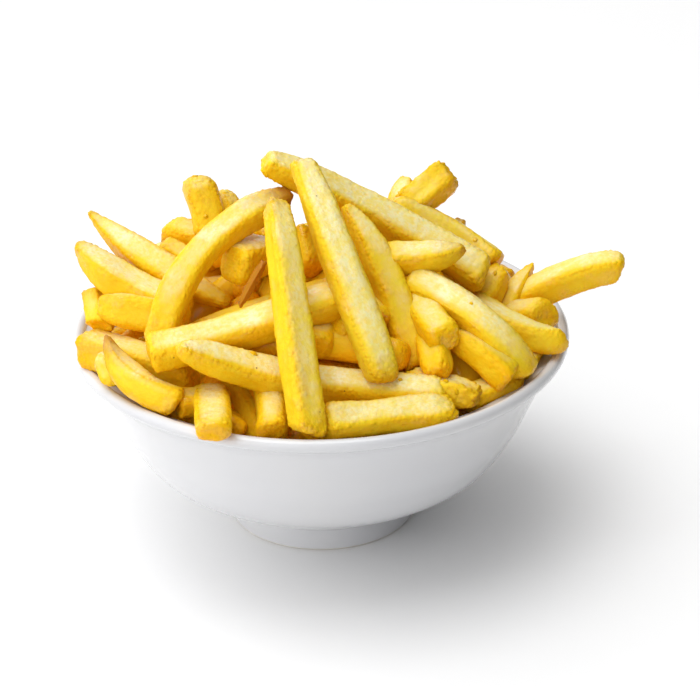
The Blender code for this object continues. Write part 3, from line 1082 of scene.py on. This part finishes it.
class FRIES_OT_crumbs(bpy.types.Operator):
    """Drops crumbs and flakes of crust onto the fries already made"""

    bl_idname = "fries.crumbs"
    bl_label = "Crumbs"

    def execute(self, context):
        settings = settings_of(context)[1]
        kinds = (FRIES_OT_long, FRIES_OT_tapered, FRIES_OT_short, FRIES_OT_back)
        pieces = [piece for kind in kinds if (piece := bpy.data.objects.get(kind.piece))]
        if not pieces:
            raise RuntimeError("make the fries before the crumbs")
        ground = bmesh.new()
        for piece in pieces:
            ground.from_mesh(piece.data)
        surface = BVHTree.FromBMesh(ground)
        ground.free()

        draw = random.Random(settings.seed + CRUMB_SEED)
        bm = bmesh.new()
        layers = [bm.verts.layers.float.new(name) for name in ("crust", "tone", "browned")]
        grain = bm.verts.layers.float_vector.new("grain")
        places = [crumb_place(i, draw) for i in range(settings.crumb_count)]
        for x, y in places:
            above = RIM_MIDDLE + Vector((x, y, DROP_HEIGHT)) * MM
            hit, normal, _, _ = surface.ray_cast(above, Vector((0, 0, -1)))
            size = [draw.uniform(*sizes) * MM for sizes in CRUMB_SIZES]
            turn, brown = draw.uniform(0, math.pi), draw.uniform(*CRUMB_BROWN)
            if hit is None or normal.z < STEEPEST:
                continue
            crumb = bmesh.ops.create_icosphere(bm, subdivisions=2, radius=1.0)["verts"]
            shift = Vector((x, y, 0))
            for vert in crumb:
                vert.co *= 1 + CRUMB_LUMPS * noise.noise(vert.co * CRUMB_LUMPINESS + shift)
                vert[grain] = vert.co * MM + shift * MM
                for layer, value in zip(layers, (CRUMB_CRUST, CRUMB_TONE, brown)):
                    vert[layer] = value
            stand = normal.to_track_quat("Z", "Y").to_matrix().to_4x4()
            stand = stand @ Matrix.Rotation(turn, 4, "Z")
            place = Matrix.Translation(hit) @ stand @ Matrix.Diagonal((*size, 1))
            bmesh.ops.transform(bm, matrix=place, verts=crumb)
        new_piece("crumbs", bm, potato(settings), "heap")
        return {"FINISHED"}


class FRIES_OT_stage(bpy.types.Operator):
    """Sets up the floor, the soft light and the camera"""

    bl_idname = "fries.stage"
    bl_label = "Stage"

    def execute(self, context):
        settings = settings_of(context)[2]
        make_floor(settings)
        area_light("key", KEY_PLACE, KEY_SIZE, settings.key)
        area_light("fill", FILL_PLACE, FILL_SIZE, settings.fill)
        make_room(settings)
        make_camera()
        context.scene.view_settings.view_transform = "Standard"
        return {"FINISHED"}


def make_floor(settings):
    bm = bmesh.new()
    bmesh.ops.create_grid(bm, x_segments=1, y_segments=1, size=FLOOR_SIZE)
    mesh = bpy.data.meshes.new("floor")
    bm.to_mesh(mesh)
    bm.free()
    floor = bpy.data.objects.new("floor", mesh)
    bpy.context.scene.collection.objects.link(floor)
    shader = Shader("pale_floor")
    place = shader.node("ShaderNodeTexCoord", output="Object")
    shade = shader.between(shader.noise(place, 0.4), 0.3, 0.7)
    tint = tuple(settings.floor)
    colour = shader.mix(shade, tint, tuple(c * 0.985 for c in tint))
    mesh.materials.append(shader.finish(base_color=colour, roughness=0.6))


def area_light(name, place, size, power):
    light = bpy.data.lights.new(name, "AREA")
    light.shape = "RECTANGLE"
    light.size, light.size_y = size
    light.energy = power
    lamp = bpy.data.objects.new(name, light)
    lamp.location = place
    lamp.rotation_euler = (Vector(LIGHTS_AIM) - Vector(place)).to_track_quat("-Z", "Y").to_euler()
    lamp.visible_camera = False
    bpy.context.scene.collection.objects.link(lamp)


def make_room(settings):
    """A room that is bright to the left and darker to the right."""
    world = bpy.data.worlds.new("room")
    bpy.context.scene.world = world
    world.use_nodes = True
    room = Nodes(world.node_tree)
    place = room.node("ShaderNodeTexCoord", output="Generated")
    side = room.node("ShaderNodeSeparateXYZ", None, {0: place}, output="X")
    inputs = {
        "Value": side,
        "From Min": ROOM_TURNS_DARK[0],
        "From Max": ROOM_TURNS_DARK[1],
        "To Min": settings.sky,
        "To Max": settings.sky * DARK_SIDE,
    }
    wall = room.node("ShaderNodeMapRange", None, inputs)
    background = room.tree.nodes["Background"]
    room.feed(background.inputs["Color"], (1.0, 1.0, 1.0))
    room.feed(background.inputs["Strength"], wall)


def make_camera():
    rise = math.radians(CAMERA_ELEVATION)
    back = Vector((0, -math.cos(rise), math.sin(rise)))
    data = bpy.data.cameras.new("camera")
    data.lens, data.sensor_width = CAMERA_LENS, SENSOR_WIDTH
    data.clip_start, data.clip_end = 0.05, 30.0
    camera = bpy.data.objects.new("camera", data)
    bpy.context.scene.collection.objects.link(camera)
    camera.location = RIM_MIDDLE + back * CAMERA_DISTANCE * MM
    per_part = data.sensor_width / FRAME_PARTS / data.lens
    pan, tilt = RIM_SHIFT[0] * per_part, RIM_SHIFT[1] * per_part
    turn = (-back).to_track_quat("-Z", "Y").to_matrix()
    turn = turn @ Matrix.Rotation(math.atan(pan), 3, "Y") @ Matrix.Rotation(math.atan(tilt), 3, "X")
    turn = turn @ Matrix.Rotation(math.radians(CAMERA_ROLL), 3, "Z")
    camera.rotation_euler = turn.to_euler()
    bpy.context.scene.camera = camera


class FRIES_PT_panel(bpy.types.Panel):
    """Lists the pieces of the bowl of fries"""

    bl_idname = "FRIES_PT_panel"
    bl_label = "Bowl of Fries"
    bl_space_type = "VIEW_3D"
    bl_region_type = "UI"
    bl_category = "Fries"

    def draw(self, context):
        for settings in settings_of(context):
            box = self.layout.box()
            for name in settings.__annotations__:
                box.prop(settings, name)
        for operator in OPERATORS:
            self.layout.operator(operator.bl_idname)


OPERATORS = (
    FRIES_OT_bowl,
    FRIES_OT_core,
    FRIES_OT_long,
    FRIES_OT_tapered,
    FRIES_OT_short,
    FRIES_OT_back,
    FRIES_OT_slivers,
    FRIES_OT_inner,
    FRIES_OT_crumbs,
    FRIES_OT_stage,
)
CLASSES = (BowlSettings, FrySettings, StageSettings, *OPERATORS, FRIES_PT_panel)


def register():
    for cls in CLASSES:
        bpy.utils.register_class(cls)
    bpy.types.Scene.bowl_settings = bpy.props.PointerProperty(type=BowlSettings)
    bpy.types.Scene.fry_settings = bpy.props.PointerProperty(type=FrySettings)
    bpy.types.Scene.stage_settings = bpy.props.PointerProperty(type=StageSettings)


def unregister():
    del bpy.types.Scene.bowl_settings, bpy.types.Scene.fry_settings, bpy.types.Scene.stage_settings
    for cls in reversed(CLASSES):
        bpy.utils.unregister_class(cls)


def main():
    register()
    for operator in OPERATORS:
        group, name = operator.bl_idname.split(".")
        getattr(getattr(bpy.ops, group), name)()


if __name__ == "__main__":
    main()
